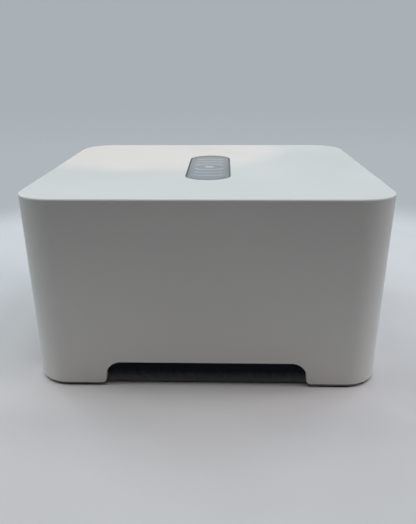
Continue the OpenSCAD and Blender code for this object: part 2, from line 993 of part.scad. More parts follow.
// Cap that stands in the front wall, with a flange behind the wall and a shallow dish in its face
module button_cap(side) {
    face_x = hl - lean(button_z) + 0.5;
    r = button_d / 2;
    color([0.86, 0.88, 0.89])
    translate([0, side * button_y, button_z])
        rotate([0, 90, 0])
            rotate_extrude()
                difference() {
                    polygon([
                        [0, plunger_tip], [2.4, plunger_tip], [2.4, flange_x - 1],
                        [r + flange_w, flange_x - 1], [r + flange_w, flange_x], [r, flange_x],
                        [r, face_x - 0.4], [r - 0.4, face_x], [0, face_x]
                    ]);
                    translate([0, face_x + dish_r - dish_depth])
                        circle(dish_r, $fn = 180);
                }
}

module pair_button() {
    button_cap(-1);
}

module pair_plunger() {
    switch_plunger(-1);
}

module radio_button() {
    button_cap(1);
}

module radio_plunger() {
    switch_plunger(1);
}

module status_led() {
    color([0.95, 0.95, 0.8])
    block([front_x, -1.6, button_z - 1], [front_x + 1, 1.6, button_z + 1]);
}

module light_pipe() {
    color([0.9, 0.95, 1, 0.7])
    union() {
        rod_x(front_x + 1.4, hl - lean(button_z) + 0.1, 0, button_z, 1.5);
        rod_x(flange_x - 1, flange_x, 0, button_z, 2.6);
        rod_x(front_x + 1.4, front_x + 3, 0, button_z, 2.2);
    }
}

module ribbon_sockets() {
    color([0.85, 0.84, 0.78]) {
        block([front_x - board_t - 2.5, -7, front_z[0] + 2], [front_x - board_t, 7, front_z[0] + 6.5]);
        block([main_front - 6, -7, main_top], [main_front - 1, 7, main_top + 2.5]);
    }
}

// Flat cable from the foot of the front board back over the main board's edge
module front_ribbon() {
    t = 0.15;
    line = [
        [front_x - board_t - 1.2, front_z[0] + 2], [front_x - board_t - 1.2, front_z[0] - 1],
        [54, front_z[0] - 2.6], [52.4, front_z[0] - 1], [52, 40], [52, 46],
        [51.2, main_top + 0.9], [main_front - 1, main_top + 1.2]
    ];
    route = smooth([for (p = line) [p[0], p[1], 0]]);
    n = len(route);
    normals = [for (i = [0:n - 1])
        let (d = unit(route[min(i + 1, n - 1)] - route[max(i - 1, 0)]))
        [-d[1], d[0]]];
    color([0.9, 0.9, 0.88])
    rotate([90, 0, 0])
        linear_extrude(11, center = true)
            polygon(concat(
                [for (i = [0:n - 1]) [route[i][0], route[i][1]] + t * normals[i]],
                [for (i = [n - 1:-1:0]) [route[i][0], route[i][1]] - t * normals[i]]
            ));
}

// ---------------------------------------------------------------- supply

module supply_board() {
    color([0.5, 0.38, 0.2])
    difference() {
        block([supply_x[0], -supply_hw, supply_z], [supply_x[1], supply_hw, supply_top]);
        for (p = supply_holes)
            rod_z(p[0], p[1], supply_z - cut, supply_top + cut, hole_r);
        block([-10, -supply_hw + 8, supply_z - cut], [-8, supply_hw - 8, supply_top + cut]);
    }
}

module supply_board_screws() {
    color([0.6, 0.6, 0.62])
    for (p = supply_holes)
        translate([p[0], p[1], supply_top])
            screw(6.4);
}

module insulation_sheet() {
    color([0.2, 0.2, 0.2])
    difference() {
        block([-54, -30, base_top], [32, 30, base_top + 0.4]);
        for (p = supply_holes)
            rod_z(p[0], p[1], 0, 10, 3.4);
    }
}

// Two-pin mains inlet with a figure-of-eight mouth
inlet_mouth = 12;
inlet_pin_y = 4.3;

module mains_inlet() {
    color([0.07, 0.07, 0.08])
    difference() {
        union() {
            across_x(panel_x - 1.4, panel_x - 0.01)
                translate([inlet_y, inlet_z])
                    round_rect(11.5, 7.6, 2.5);
            across_x(panel_x - 0.02, panel_x + 19)
                translate([inlet_y, inlet_z])
                    round_rect(10.2, 6.2, 1.8);
            block([panel_x + 5, inlet_y - 8, supply_top], [panel_x + 19, inlet_y + 8, inlet_z]);
        }
        across_x(panel_x - 5, panel_x - 1.4 + inlet_mouth)
            translate([inlet_y, inlet_z]) {
                square([2 * inlet_pin_y, 6.6], center = true);
                for (s = [-1, 1])
                    translate([s * inlet_pin_y, 0])
                        circle(4.4);
            }
        for (s = [-1, 1])
            rod_x(panel_x, panel_x + 25, inlet_y + s * inlet_pin_y, inlet_z, 1.2);
    }
}

module inlet_pins() {
    color([0.8, 0.8, 0.82])
    for (s = [-1, 1])
        rod_x(panel_x + 1.4, panel_x + 20.5, inlet_y + s * inlet_pin_y, inlet_z, 1.18);
}

rocker_pin_r = 1.2;
rocker_back = 13;

module power_switch_body() {
    color([0.08, 0.08, 0.09])
    difference() {
        union() {
            block([panel_x - 1.2, rocker_y - 7.5, rocker_z - 10.5],
                  [panel_x - 0.01, rocker_y + 7.5, rocker_z + 10.5]);
            block([panel_x - 0.02, rocker_y - 6.3, rocker_z - 9.4],
                  [panel_x + rocker_back, rocker_y + 6.3, rocker_z + 9.4]);
        }
        block([panel_x - 3, rocker_y - 5, rocker_z - 8], [panel_x + 9, rocker_y + 5, rocker_z + 8]);
        translate([rocker_x, rocker_y, rocker_z])
            rotate([90, 0, 0])
                cylinder(h = 14, r = rocker_pin_r + slip, center = true);
    }
}

// Two flat keys that meet at a shallow angle; at rest the upper one is pressed in
module power_rocker() {
    key = 6.7;
    face = rocker_x - panel_x + 3.4;
    color([0.1, 0.1, 0.11])
    translate([rocker_x, rocker_y, rocker_z])
        rotate([90, 0, 0])
            rotate(-rocker_swing / 2)
                union() {
                    linear_extrude(rocker_w, center = true)
                        polygon([
                            [3, -3.5], [3, 3.5], [-1.5, key - 0.6], [-face + 1.6, key],
                            [-face + 2.2, 0], [-face + 1.6, -key], [-1.5, -key + 0.6]
                        ]);
                    cylinder(h = 12.2, r = rocker_pin_r, center = true);
                }
}

module mains_fuse() {
    color([0.85, 0.85, 0.8])
    translate([-28, -20, supply_top]) {
        for (s = [-1, 1])
            difference() {
                block([s * 8.5 - 1.5, -3.2, 0], [s * 8.5 + 1.5, 3.2, 6.5]);
                block([s * 8.5 - 3, -2.6, 1], [s * 8.5 + 3, 2.6, 8]);
            }
        rod_x(-11, 11, 0, 3.62, 2.55);
    }
}

module filter_choke() {
    color([0.55, 0.3, 0.12])
    translate([-30, 4, supply_top + 9.6])
        rotate([0, 90, 0])
            rotate_extrude()
                translate([6.2, 0])
                    circle(3.2);
}

module bulk_capacitor() {
    color([0.1, 0.12, 0.15])
    union() {
        rod_z(2, -16, supply_top, supply_top + 26, 9);
        rod_z(2, -16, supply_top + 25.9, supply_top + 26.4, 8);
    }
}

module transformer_core() {
    color([0.15, 0.14, 0.14])
    translate([4, 14, supply_top + 3])
        difference() {
            block([-13, -4, 0], [13, 4, 21]);
            for (s = [0, 1])
                mirror([s, 0, 0])
                    block([3, -5, 3.4], [9.2, 5, 17.6]);
        }
}

module transformer_winding() {
    color([0.85, 0.7, 0.15])
    translate([4, 14, supply_top])
        union() {
            difference() {
                block([-9, -9.5, 6.6], [9, 9.5, 20.4]);
                block([-3.2, -4.2, 6], [3.2, 4.2, 21]);
            }
            for (s = [0, 1])
                mirror([0, s, 0]) {
                    block([-11, 5, 0], [11, 11, 5]);
                    block([-9, 5, 0], [9, 9.5, 7]);
                }
        }
}

module output_capacitors() {
    color([0.15, 0.35, 0.25])
    for (y = [18, 6, -6])
        rod_z(25, y, supply_top, supply_top + 20, 5);
}

// Wires from the supply's output plug, round the shelf's front edge, to the main board's plug
module power_harness() {
    color([0.8, 0.1, 0.1]) {
        for (i = [0:harness_wires - 1])
            let (shift = (i - (harness_wires - 1) / 2) * harness_pitch)
            tube(smooth([for (p = harness_route) p + [0, shift, 0]]), 0.7);
        block([27, -23, supply_top], [35.2, -13, supply_top + 7]);
        block([41, -45, main_top], [47.8, -35, main_top + 8.5]);
    }
}

// ---------------------------------------------------------------- assembly

top_cover();
base_tray();
rubber_feet();
cover_screws();
rating_label();
badge_plate();
badge_inlay();
badge_adhesive();
rear_panel();
rear_panel_screws();
chassis_shelf();
shelf_screws();
main_board();
main_board_screws();
lan_jack_block();
wan_jack();
lan_magnetics();
switch_chip();
processor();
thermal_pad();
heat_sink();
heat_sink_pins();
memory_chips();
board_capacitors();
card_socket();
radio_card();
radio_shield();
card_standoffs();
card_screws();
antenna_left();
antenna_right();
antenna_lead_left();
antenna_lead_right();
reset_switch();
reset_button();
front_board();
front_board_screws();
button_switches();
pair_button();
pair_plunger();
radio_button();
radio_plunger();
status_led();
light_pipe();
front_ribbon();
ribbon_sockets();
supply_board();
supply_board_screws();
insulation_sheet();
mains_inlet();
inlet_pins();
power_switch_body();
power_rocker();
mains_fuse();
filter_choke();
bulk_capacitor();
transformer_core();
transformer_winding();
output_capacitors();
power_harness();
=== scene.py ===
"""The looks of a desktop wireless router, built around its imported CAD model."""
import random
from math import cos, pi, radians, sin

import bmesh
import bpy
from mathutils import Matrix, Vector


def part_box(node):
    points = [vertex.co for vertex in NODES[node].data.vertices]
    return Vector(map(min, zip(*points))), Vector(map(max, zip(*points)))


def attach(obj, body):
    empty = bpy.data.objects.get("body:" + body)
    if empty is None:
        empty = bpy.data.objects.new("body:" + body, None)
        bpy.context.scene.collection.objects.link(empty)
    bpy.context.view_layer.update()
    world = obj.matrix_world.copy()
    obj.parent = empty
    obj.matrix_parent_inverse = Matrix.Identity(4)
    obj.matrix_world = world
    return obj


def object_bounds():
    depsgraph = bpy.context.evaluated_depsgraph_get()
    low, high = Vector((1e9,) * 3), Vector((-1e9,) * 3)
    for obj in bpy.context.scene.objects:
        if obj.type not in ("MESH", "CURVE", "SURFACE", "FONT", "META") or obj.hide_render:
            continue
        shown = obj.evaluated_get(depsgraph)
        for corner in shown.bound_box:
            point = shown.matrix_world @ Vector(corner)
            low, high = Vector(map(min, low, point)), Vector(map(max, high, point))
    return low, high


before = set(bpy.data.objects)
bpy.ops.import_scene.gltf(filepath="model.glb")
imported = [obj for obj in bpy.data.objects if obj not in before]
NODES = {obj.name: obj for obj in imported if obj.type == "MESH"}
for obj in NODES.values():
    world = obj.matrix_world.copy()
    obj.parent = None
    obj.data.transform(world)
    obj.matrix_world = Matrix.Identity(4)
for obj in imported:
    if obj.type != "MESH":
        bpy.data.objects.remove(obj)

CAD_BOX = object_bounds()
MM = 0.001
scene = bpy.context.scene


def corners(node):
    """A node's lowest and highest corner in millimetres."""
    low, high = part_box(node)
    return low / MM, high / MM


def middle(node):
    low, high = corners(node)
    return (low + high) / 2


def touch(node, start, direction):
    """Where a straight line first meets a node, in millimetres."""
    hit, place = NODES[node].ray_cast(Vector(start) * MM, Vector(direction))[:2]
    if not hit:
        raise ValueError(f"nothing of {node} lies that way")
    return place / MM


# ------------------------------------------------------------------ camera

# Lens and sensor in millimetres, place in metres, turns in radians.
FOCAL = 39.84
SENSOR = 36
CAMERA_AT = (0.00675, -0.26546, 0.12187)
CAMERA_DOWN = 0.3365
CAMERA_YAW = 0.0287
CAMERA_ROLL = -0.0051


def make_camera():
    """A camera close to the case's side and a little above its top."""
    level = Vector((cos(CAMERA_YAW), sin(CAMERA_YAW), 0))
    ahead = Vector((-sin(CAMERA_YAW), cos(CAMERA_YAW), 0))
    forward = cos(CAMERA_DOWN) * ahead - Vector((0, 0, sin(CAMERA_DOWN)))
    up = sin(CAMERA_DOWN) * ahead + Vector((0, 0, cos(CAMERA_DOWN)))
    x = cos(CAMERA_ROLL) * level + sin(CAMERA_ROLL) * up
    y = cos(CAMERA_ROLL) * up - sin(CAMERA_ROLL) * level
    camera = bpy.data.objects.new("camera", bpy.data.cameras.new("camera"))
    scene.collection.objects.link(camera)
    turned = Matrix((x, y, -forward)).transposed().to_4x4()
    camera.matrix_world = Matrix.Translation(CAMERA_AT) @ turned
    camera.data.lens = FOCAL
    camera.data.sensor_width = SENSOR
    camera.data.clip_start = 0.005
    scene.camera = camera


# ------------------------------------------------------------------ node helpers

class Tree:
    """A material's node tree, with short ways to add nodes and join them."""

    def __init__(self, name):
        self.name = name
        self.material = bpy.data.materials.new(name)
        self.material.use_nodes = True
        self.nodes = self.material.node_tree.nodes
        self.links = self.material.node_tree.links
        self.shader = self.nodes["Principled BSDF"]
        self.place = self.add("ShaderNodeTexCoord").outputs["Object"]

    def add(self, kind, **settings):
        node = self.nodes.new(kind)
        for key, value in settings.items():
            setattr(node, key, value)
        return node

    def feed(self, socket, value):
        """Puts a number, a colour or another socket into a socket."""
        if isinstance(value, bpy.types.NodeSocket):
            self.links.new(value, socket)
        else:
            socket.default_value = value

    def set(self, **values):
        """Sets the shader's own sockets, with the spaces in their names written as underscores."""
        for name, value in values.items():
            self.feed(self.shader.inputs[name.replace("_", " ")], value)

    def moved(self, stretch, offset=(0, 0, 0)):
        mapping = self.add("ShaderNodeMapping")
        self.feed(mapping.inputs["Vector"], self.place)
        mapping.inputs["Scale"].default_value = stretch
        mapping.inputs["Location"].default_value = offset
        return mapping.outputs["Vector"]

    def noise(self, per_m, detail=2.0, stretch=(1, 1, 1), offset=(0, 0, 0), roughness=0.5):
        """Noise with about this many features to the metre."""
        noise = self.add("ShaderNodeTexNoise")
        self.feed(noise.inputs["Vector"], self.moved(stretch, offset))
        noise.inputs["Scale"].default_value = per_m
        noise.inputs["Detail"].default_value = detail
        noise.inputs["Roughness"].default_value = roughness
        return noise.outputs["Fac"]

    def cells(self, per_m, output="Distance"):
        cells = self.add("ShaderNodeTexVoronoi")
        self.feed(cells.inputs["Vector"], self.place)
        cells.inputs["Scale"].default_value = per_m
        return cells.outputs[output]

    def part_of(self, vector, name):
        apart = self.add("ShaderNodeSeparateXYZ")
        self.feed(apart.inputs[0], vector)
        return apart.outputs[name]

    def axis(self, name):
        """One coordinate of the surface point, in metres."""
        return self.part_of(self.place, name)

    def facing(self, name):
        """One component of the surface's normal."""
        return self.part_of(self.add("ShaderNodeNewGeometry").outputs["Normal"], name)

    def ramp(self, value, *stops):
        """A colour ramp, given as (position, colour) pairs."""
        node = self.add("ShaderNodeValToRGB")
        self.feed(node.inputs["Fac"], value)
        points = node.color_ramp.elements
        while len(points) < len(stops):
            points.new(0.5)
        for point, (at, colour) in zip(points, stops):
            point.position = at
            point.color = (*colour, 1)
        return node.outputs["Color"]

    def mottled(self, value, colour, darkest, lightest):
        """A colour that varies with a value between two shades of itself."""
        return self.ramp(value, (0.3, shaded(colour, darkest)), (0.7, shaded(colour, lightest)))

    def remap(self, value, low, high, to_low=0.0, to_high=1.0, smooth=False):
        node = self.add("ShaderNodeMapRange")
        node.interpolation_type = "SMOOTHSTEP" if smooth else "LINEAR"
        self.feed(node.inputs["Value"], value)
        ends = (("From Min", low), ("From Max", high), ("To Min", to_low), ("To Max", to_high))
        for name, number in ends:
            node.inputs[name].default_value = number
        return node.outputs["Result"]

    def maths(self, operation, a, b=0.0):
        node = self.add("ShaderNodeMath", operation=operation)
        self.feed(node.inputs[0], a)
        self.feed(node.inputs[1], b)
        return node.outputs[0]

    def vector_maths(self, operation, a, b=(0, 0, 0), output=0):
        node = self.add("ShaderNodeVectorMath", operation=operation)
        self.feed(node.inputs[0], a)
        self.feed(node.inputs[1], b)
        return node.outputs[output]

    def between(self, value, low, high):
        """1 where a value lies between two others, 0 outside."""
        over = self.maths("GREATER_THAN", value, low)
        return self.maths("MULTIPLY", over, self.maths("LESS_THAN", value, high))

    def mix(self, share, a, b):
        node = self.add("ShaderNodeMix", data_type="RGBA")
        self.feed(node.inputs["Factor"], share)
        self.feed(node.inputs[6], (*a, 1) if isinstance(a, tuple) else a)
        self.feed(node.inputs[7], (*b, 1) if isinstance(b, tuple) else b)
        return node.outputs[2]

    def bump(self, height, depth_mm, under=None):
        """Bump of this depth, on top of another bump where one is given."""
        node = self.add("ShaderNodeBump")
        node.inputs["Distance"].default_value = depth_mm * MM
        self.feed(node.inputs["Height"], height)
        if under is not None:
            self.feed(node.inputs["Normal"], under)
        return node.outputs["Normal"]


def shaded(colour, by):
    """A colour made lighter or darker by a factor."""
    return tuple(min(1.0, c * by) for c in colour)


# ------------------------------------------------------------------ materials

WHITE = (0.826, 0.80, 0.76)
HOUSE_DUST = (0.62, 0.61, 0.58)


def eroded(t, roughness, grain, fine):
    """The spark-eroded texture of moulded plastic, over slight sink marks and with uneven gloss."""
    wear = t.noise(90, detail=4, offset=(3, 1, 2))
    sink = t.bump(t.noise(18, detail=1, offset=(1, 5, 2)), 0.02)
    t.set(Roughness=t.remap(wear, 0.3, 0.7, roughness - 0.05, roughness + 0.06))
    t.set(Normal=t.bump(t.noise(fine, roughness=0.65), grain, under=sink))


def moulded(name, colour, roughness=0.42, grain=0.01, fine=2600, spread=0.06):
    """Moulded plastic of one slightly clouded colour."""
    t = Tree(name)
    t.set(Base_Color=t.mottled(t.noise(40, detail=4), colour, 1 - spread, 1 + spread))
    eroded(t, roughness, grain, fine)
    return t


def metal(name, colour, roughness=0.3, brushed=(1, 1, 1), depth=0.003, spread=0.08):
    """Bare metal: brush or rolling marks along one direction, with a slightly uneven tone."""
    t = Tree(name)
    t.set(Base_Color=t.mottled(t.noise(120, detail=4), colour, 1 - spread, 1 + spread))
    marks = t.noise(2400, detail=3, stretch=brushed)
    t.set(Metallic=1.0, Roughness=t.remap(marks, 0.25, 0.75, roughness - 0.08, roughness + 0.12))
    t.set(Normal=t.bump(marks, depth))
    return t


def white_case():
    """Satin white cover: a very fine texture, a few dust specks and faint handling marks."""
    t = Tree("white_case")
    base = t.mottled(t.noise(22, detail=4), WHITE, 0.99, 1.01)
    dust = t.remap(t.noise(700, offset=(2, 2, 7)), 0.74, 0.80, 0.0, 0.06)
    smears = t.noise(26, detail=5, stretch=(1, 1, 0.5), offset=(4, 1, 3))
    t.set(Base_Color=t.mix(dust, base, HOUSE_DUST))
    t.set(Roughness=t.remap(smears, 0.35, 0.7, 0.40, 0.50))
    sink = t.bump(t.noise(12, detail=1, offset=(1, 5, 2)), 0.03)
    t.set(Normal=t.bump(t.noise(2600, roughness=0.6), 0.004, under=sink))
    return t


BADGE_RIM = 0.7


def badge_grey():
    """Satin grey plate with fine brush marks along its length and a dark rim."""
    t = Tree("badge_grey")
    plate, rim = (0.372, 0.39, 0.40), (0.15, 0.16, 0.165)
    streaks = t.noise(2200, detail=3, stretch=(1, 0.03, 1))
    base = t.mottled(t.noise(60, detail=3), plate, 0.95, 1.05)
    brushed = t.ramp(streaks, (0.35, shaded(plate, 0.86)), (0.65, shaded(plate, 1.1)))
    low, high = corners("badge_plate")
    radius = (high.x - low.x) / 2
    along = t.maths("SUBTRACT", t.axis("Y"), (low.y + high.y) / 2 * MM)
    past = t.maths("SUBTRACT", t.maths("ABSOLUTE", along), ((high.y - low.y) / 2 - radius) * MM)
    x, y = t.axis("X"), t.maths("MAXIMUM", past, 0.0)
    away = t.maths("SQRT", t.maths("ADD", t.maths("MULTIPLY", x, x), t.maths("MULTIPLY", y, y)))
    edge = t.remap(away, (radius - BADGE_RIM) * MM, (radius - BADGE_RIM / 2) * MM)
    t.set(Base_Color=t.mix(edge, t.mix(0.5, base, brushed), rim))
    t.set(Roughness=t.remap(streaks, 0.3, 0.7, 0.30, 0.44), Normal=t.bump(streaks, 0.004))
    return t


# Painted light: a paler tone mixed in low on the base's upright walls, for light bounced up from the
# floor, up to a height in mm.
FOOT_LIGHT_TONE = (0.235, 0.228, 0.23)
FOOT_LIGHT_TOP = 5.0
FOOT_LIGHT_WAVER = 0.3
# A wall counts as upright while its normal's Z stays under this.
UPRIGHT = 0.7


def dark_base():
    """Dark textured plastic, with painted light: a paler tone low down on its upright walls, standing in
    for light bounced up from the floor.
    """
    t = Tree("dark_base")
    eroded(t, 0.52, 0.03, 1500)
    own_tone = t.ramp(t.noise(60, detail=4), (0.3, (0.0090, 0.0130, 0.0215)), (0.7, (0.0102, 0.0146, 0.0240)))
    waver = t.remap(t.noise(500, detail=4), 0.3, 0.7, -FOOT_LIGHT_WAVER * MM, FOOT_LIGHT_WAVER * MM)
    height = t.maths("ADD", t.axis("Z"), waver)
    upright = t.maths("LESS_THAN", t.maths("ABSOLUTE", t.facing("Z")), UPRIGHT)
    # Painted light: upright walls grow paler towards their foot.
    painted_foot_light = t.maths("MULTIPLY", upright, t.remap(height, FOOT_LIGHT_TOP * MM, 0.0, smooth=True))
    t.set(Base_Color=t.mix(painted_foot_light, own_tone, FOOT_LIGHT_TONE))
    t.shader.inputs["Specular IOR Level"].default_value = 0.2
    return t


FOOT_R = 6
RING_STEP = 1.1


def foot_rubber():
    """Black rubber with fine moulded rings, dulled by dust."""
    t = Tree("foot_rubber")
    low, high = corners("rubber_feet")
    centre = ((high.x - FOOT_R) * MM, (high.y - FOOT_R) * MM, 0)
    quarter = t.vector_maths("ABSOLUTE", t.place)
    flat = t.vector_maths("MULTIPLY", t.vector_maths("SUBTRACT", quarter, centre), (1, 1, 0))
    radius = t.vector_maths("LENGTH", flat, output="Value")
    rings = t.maths("SINE", t.maths("MULTIPLY", radius, 2 * pi / (RING_STEP * MM)))
    dust = t.noise(300, detail=5)
    t.set(Base_Color=t.ramp(dust, (0.35, (0.016, 0.016, 0.017)), (0.75, (0.045, 0.044, 0.042))))
    t.set(Roughness=t.remap(dust, 0.3, 0.7, 0.68, 0.85))
    t.set(Normal=t.bump(t.noise(1900), 0.02, under=t.bump(rings, 0.06)))
    return t


def label_film():
    """Silver-grey label film with a fine pressed grain."""
    t = Tree("label_film")
    tone = t.noise(70, detail=3)
    t.set(Base_Color=t.ramp(tone, (0.3, (0.50, 0.51, 0.52)), (0.7, (0.58, 0.59, 0.60))), Metallic=0.25)
    grain = t.noise(3200)
    t.set(Roughness=t.remap(grain, 0.3, 0.7, 0.34, 0.46), Normal=t.bump(grain, 0.004))
    return t


PAD_REACH = 0.24
HOLE_REACH = 0.13


def circuit_board(name, resist, track):
    """Solder resist over copper tracks that run at right angles, with small plated holes."""
    t = Tree(name)
    weave = t.noise(1500)
    base = t.mottled(weave, resist, 0.9, 1.12)
    along_x = t.between(t.noise(520, detail=0, stretch=(1, 0.06, 1)), 0.47, 0.53)
    along_y = t.between(t.noise(520, detail=0, stretch=(0.06, 1, 1), offset=(7, 3, 0)), 0.47, 0.53)
    area = t.maths("GREATER_THAN", t.noise(45, detail=1, offset=(9, 9, 9)), 0.5)
    run = t.mix(area, along_x, along_y)
    spots = t.cells(260)
    colour = t.mix(run, base, track)
    colour = t.mix(t.maths("LESS_THAN", spots, PAD_REACH), colour, (0.62, 0.58, 0.46))
    colour = t.mix(t.maths("LESS_THAN", spots, HOLE_REACH), colour, (0.01, 0.01, 0.01))
    t.set(Base_Color=colour, Roughness=t.remap(t.noise(80, detail=3), 0.3, 0.7, 0.26, 0.38))
    t.set(Normal=t.bump(run, 0.02, under=t.bump(weave, 0.005)))
    return t


def galvanised():
    """Zinc-coated sheet with crystals of slightly different tone."""
    t = Tree("chassis_steel")
    crystal = t.cells(140, "Color")
    tone = t.part_of(crystal, "X")
    t.set(Base_Color=t.ramp(tone, (0.0, (0.50, 0.51, 0.53)), (1.0, (0.66, 0.67, 0.68))), Metallic=1.0)
    t.set(Roughness=t.remap(tone, 0.0, 1.0, 0.28, 0.44))
    t.set(Normal=t.bump(t.noise(900, detail=3, stretch=(1, 0.1, 1)), 0.004))
    return t


def sleeved(name, colour, node):
    """Shrink sleeve round a can, with the bare scored metal showing on its top."""
    t = Tree(name)
    top = corners(node)[1].z - 1
    raised = t.maths("GREATER_THAN", t.axis("Z"), top * MM)
    bare = t.maths("MULTIPLY", t.maths("GREATER_THAN", t.facing("Z"), UPRIGHT), raised)
    tone = t.noise(200, detail=3)
    sleeve = t.mottled(tone, colour, 0.85, 1.2)
    t.set(Base_Color=t.mix(bare, sleeve, (0.62, 0.62, 0.63)), Metallic=bare)
    t.set(Roughness=t.remap(tone, 0.3, 0.7, 0.24, 0.36))
    t.set(Normal=t.bump(t.noise(1400, stretch=(1, 1, 0.1)), 0.01))
    return t


WIRE_STEP = 1.0


def ribbon_film():
    """Flat cable: parallel wires under a pale film."""
    t = Tree("ribbon_film")
    wires = t.maths("SINE", t.maths("MULTIPLY", t.axis("Y"), 2 * pi / (WIRE_STEP * MM)))
    share = t.remap(wires, -0.4, 0.4, smooth=True)
    t.set(Base_Color=t.mix(share, (0.78, 0.77, 0.73), (0.55, 0.56, 0.58)))
    t.set(Roughness=t.remap(t.noise(400), 0.3, 0.7, 0.28, 0.4), Normal=t.bump(wires, 0.04))
    return t


TAPE_STEP = 3.4


def winding_tape():
    """Yellow polyester tape lapped round the coil."""
    t = Tree("winding_tape")
    laps = t.maths("FRACT", t.maths("MULTIPLY", t.axis("Z"), 1 / (TAPE_STEP * MM)))
    flat = t.remap(laps, 0.0, 0.12)
    tone = t.noise(260, detail=3)
    tape = t.ramp(tone, (0.3, (0.52, 0.34, 0.03)), (0.7, (0.68, 0.47, 0.05)))
    t.set(Base_Color=t.mix(flat, (0.36, 0.22, 0.02), tape), Roughness=t.remap(tone, 0.3, 0.7, 0.24, 0.36))
    t.set(Normal=t.bump(flat, 0.06, under=t.bump(tone, 0.03)))
    return t


def two_tone(name, share, low, high, other_low, other_high, roughness, metallic=False):
    """One finish where share is 0 and another where it is 1, each slightly mottled."""
    t = Tree(name)
    where = share(t)
    tone = t.noise(500, detail=3)
    first = t.ramp(tone, (0.3, low), (0.7, high))
    second = t.ramp(tone, (0.3, other_low), (0.7, other_high))
    t.set(Base_Color=t.mix(where, first, second), Normal=t.bump(tone, 0.01))
    t.set(Roughness=t.remap(tone, 0.3, 0.7, roughness, roughness + 0.14))
    if metallic:
        t.set(Metallic=where)
    return t


CERAMIC_HALF = 7.5


def fuse_ceramic():
    """White ceramic tube between two plated ends in their clips."""
    def ends(t):
        away = t.maths("SUBTRACT", t.axis("X"), middle("mains_fuse").x * MM)
        return t.maths("GREATER_THAN", t.maths("ABSOLUTE", away), CERAMIC_HALF * MM)
    return two_tone("fuse_ceramic", ends, (0.70, 0.69, 0.64), (0.78, 0.77, 0.72),
                    (0.58, 0.58, 0.58), (0.68, 0.67, 0.66), 0.2, metallic=True)


LOW_PLUG = (8.3, 7.1)
HIGH_PLUG = (13.9, 8.6)


def harness_red():
    """Red wire insulation between two white nylon plugs."""
    low = corners("power_harness")[0]
    board = corners("main_board")[1].z

    def plugs(t):
        x, z = t.axis("X"), t.axis("Z")
        first = t.maths("MULTIPLY", t.maths("LESS_THAN", x, (low.x + LOW_PLUG[0]) * MM),
                        t.maths("LESS_THAN", z, (low.z + LOW_PLUG[1]) * MM))
        second = t.maths("MULTIPLY", t.maths("GREATER_THAN", x, (low.x + HIGH_PLUG[0]) * MM),
                         t.between(z, board * MM, (board + HIGH_PLUG[1]) * MM))
        return t.maths("MAXIMUM", first, second)
    return two_tone("harness_red", plugs, (0.40, 0.015, 0.012), (0.52, 0.03, 0.02),
                    (0.66, 0.64, 0.58), (0.74, 0.72, 0.66), 0.34)


def clear_pipe():
    """Slightly frosted clear plastic."""
    t = moulded("clear_pipe", (0.86, 0.90, 0.92), roughness=0.3, grain=0.006, spread=0.03)
    t.set(Transmission_Weight=0.75, IOR=1.49)
    return t


def make_looks():
    """Every finish, by the name of its slot in the record."""
    made = (
        white_case(),
        dark_base(),
        foot_rubber(),
        metal("screw_steel", (0.52, 0.52, 0.53), 0.32),
        label_film(),
        badge_grey(),
        moulded("badge_light", (0.62, 0.66, 0.69), 0.34, 0.004, spread=0.04),
        moulded("adhesive_foam", (0.58, 0.57, 0.50), 0.8, 0.04, fine=1800),
        moulded("panel_dark", (0.024, 0.026, 0.031), 0.5, 0.03, fine=1700, spread=0.12),
        metal("screw_black", (0.07, 0.07, 0.075), 0.38),
        galvanised(),
        circuit_board("board_green", (0.010, 0.085, 0.040), (0.025, 0.17, 0.075)),
        circuit_board("board_blue", (0.008, 0.045, 0.15), (0.02, 0.09, 0.26)),
        circuit_board("board_tan", (0.27, 0.165, 0.06), (0.33, 0.20, 0.08)),
        moulded("jack_black", (0.017, 0.017, 0.019), 0.34, 0.008, spread=0.1),
        moulded("jack_blue", (0.018, 0.085, 0.27), 0.34, 0.008, spread=0.08),
        moulded("chip_black", (0.016, 0.016, 0.018), 0.6, 0.02, fine=3200, spread=0.12),
        moulded("thermal_blue", (0.25, 0.44, 0.58), 0.75, 0.05, fine=1500),
        metal("sink_aluminium", (0.58, 0.59, 0.61), 0.34, (0.05, 1, 1)),
        moulded("pin_nylon", (0.72, 0.71, 0.65), 0.4),
        sleeved("capacitor_sleeve", (0.02, 0.03, 0.13), "board_capacitors"),
        metal("shield_tin", (0.60, 0.60, 0.59), 0.3),
        metal("standoff_brass", (0.62, 0.43, 0.14), 0.26),
        moulded("lead_black", (0.018, 0.018, 0.018), 0.45, 0.02),
        moulded("reset_red", (0.45, 0.03, 0.02), 0.35),
        moulded("button_white", shaded(WHITE, 0.97), 0.33, 0.004, spread=0.012),
        moulded("led_lens", (0.80, 0.78, 0.58), 0.2, 0.004),
        clear_pipe(),
        ribbon_film(),
        moulded("socket_cream", (0.65, 0.62, 0.50), 0.42),
        moulded("insulation_film", (0.03, 0.03, 0.032), 0.3, 0.01),
        moulded("inlet_black", (0.013, 0.013, 0.014), 0.42, 0.012, spread=0.1),
        metal("pin_nickel", (0.66, 0.65, 0.63), 0.16, (0.05, 1, 1)),
        moulded("rocker_black", (0.014, 0.014, 0.015), 0.28, 0.005, spread=0.1),
        fuse_ceramic(),
        moulded("choke_copper", (0.03, 0.10, 0.06), 0.5, 0.02, fine=1600),
        sleeved("capacitor_black", (0.012, 0.016, 0.026), "bulk_capacitor"),
        moulded("ferrite_grey", (0.032, 0.030, 0.030), 0.62, 0.04, fine=1300, spread=0.15),
        winding_tape(),
        sleeved("capacitor_green", (0.02, 0.10, 0.05), "output_capacitors"),
        harness_red(),
    )
    return {tree.name: tree.material for tree in made}


def dress_nodes():
    """Gives each CAD node the finish that its own slot names."""
    for node in NODES.values():
        slots = node.data.materials
        slot = slots[0].name
        slots.clear()
        slots.append(LOOKS[slot])


# ------------------------------------------------------------------ mesh helpers

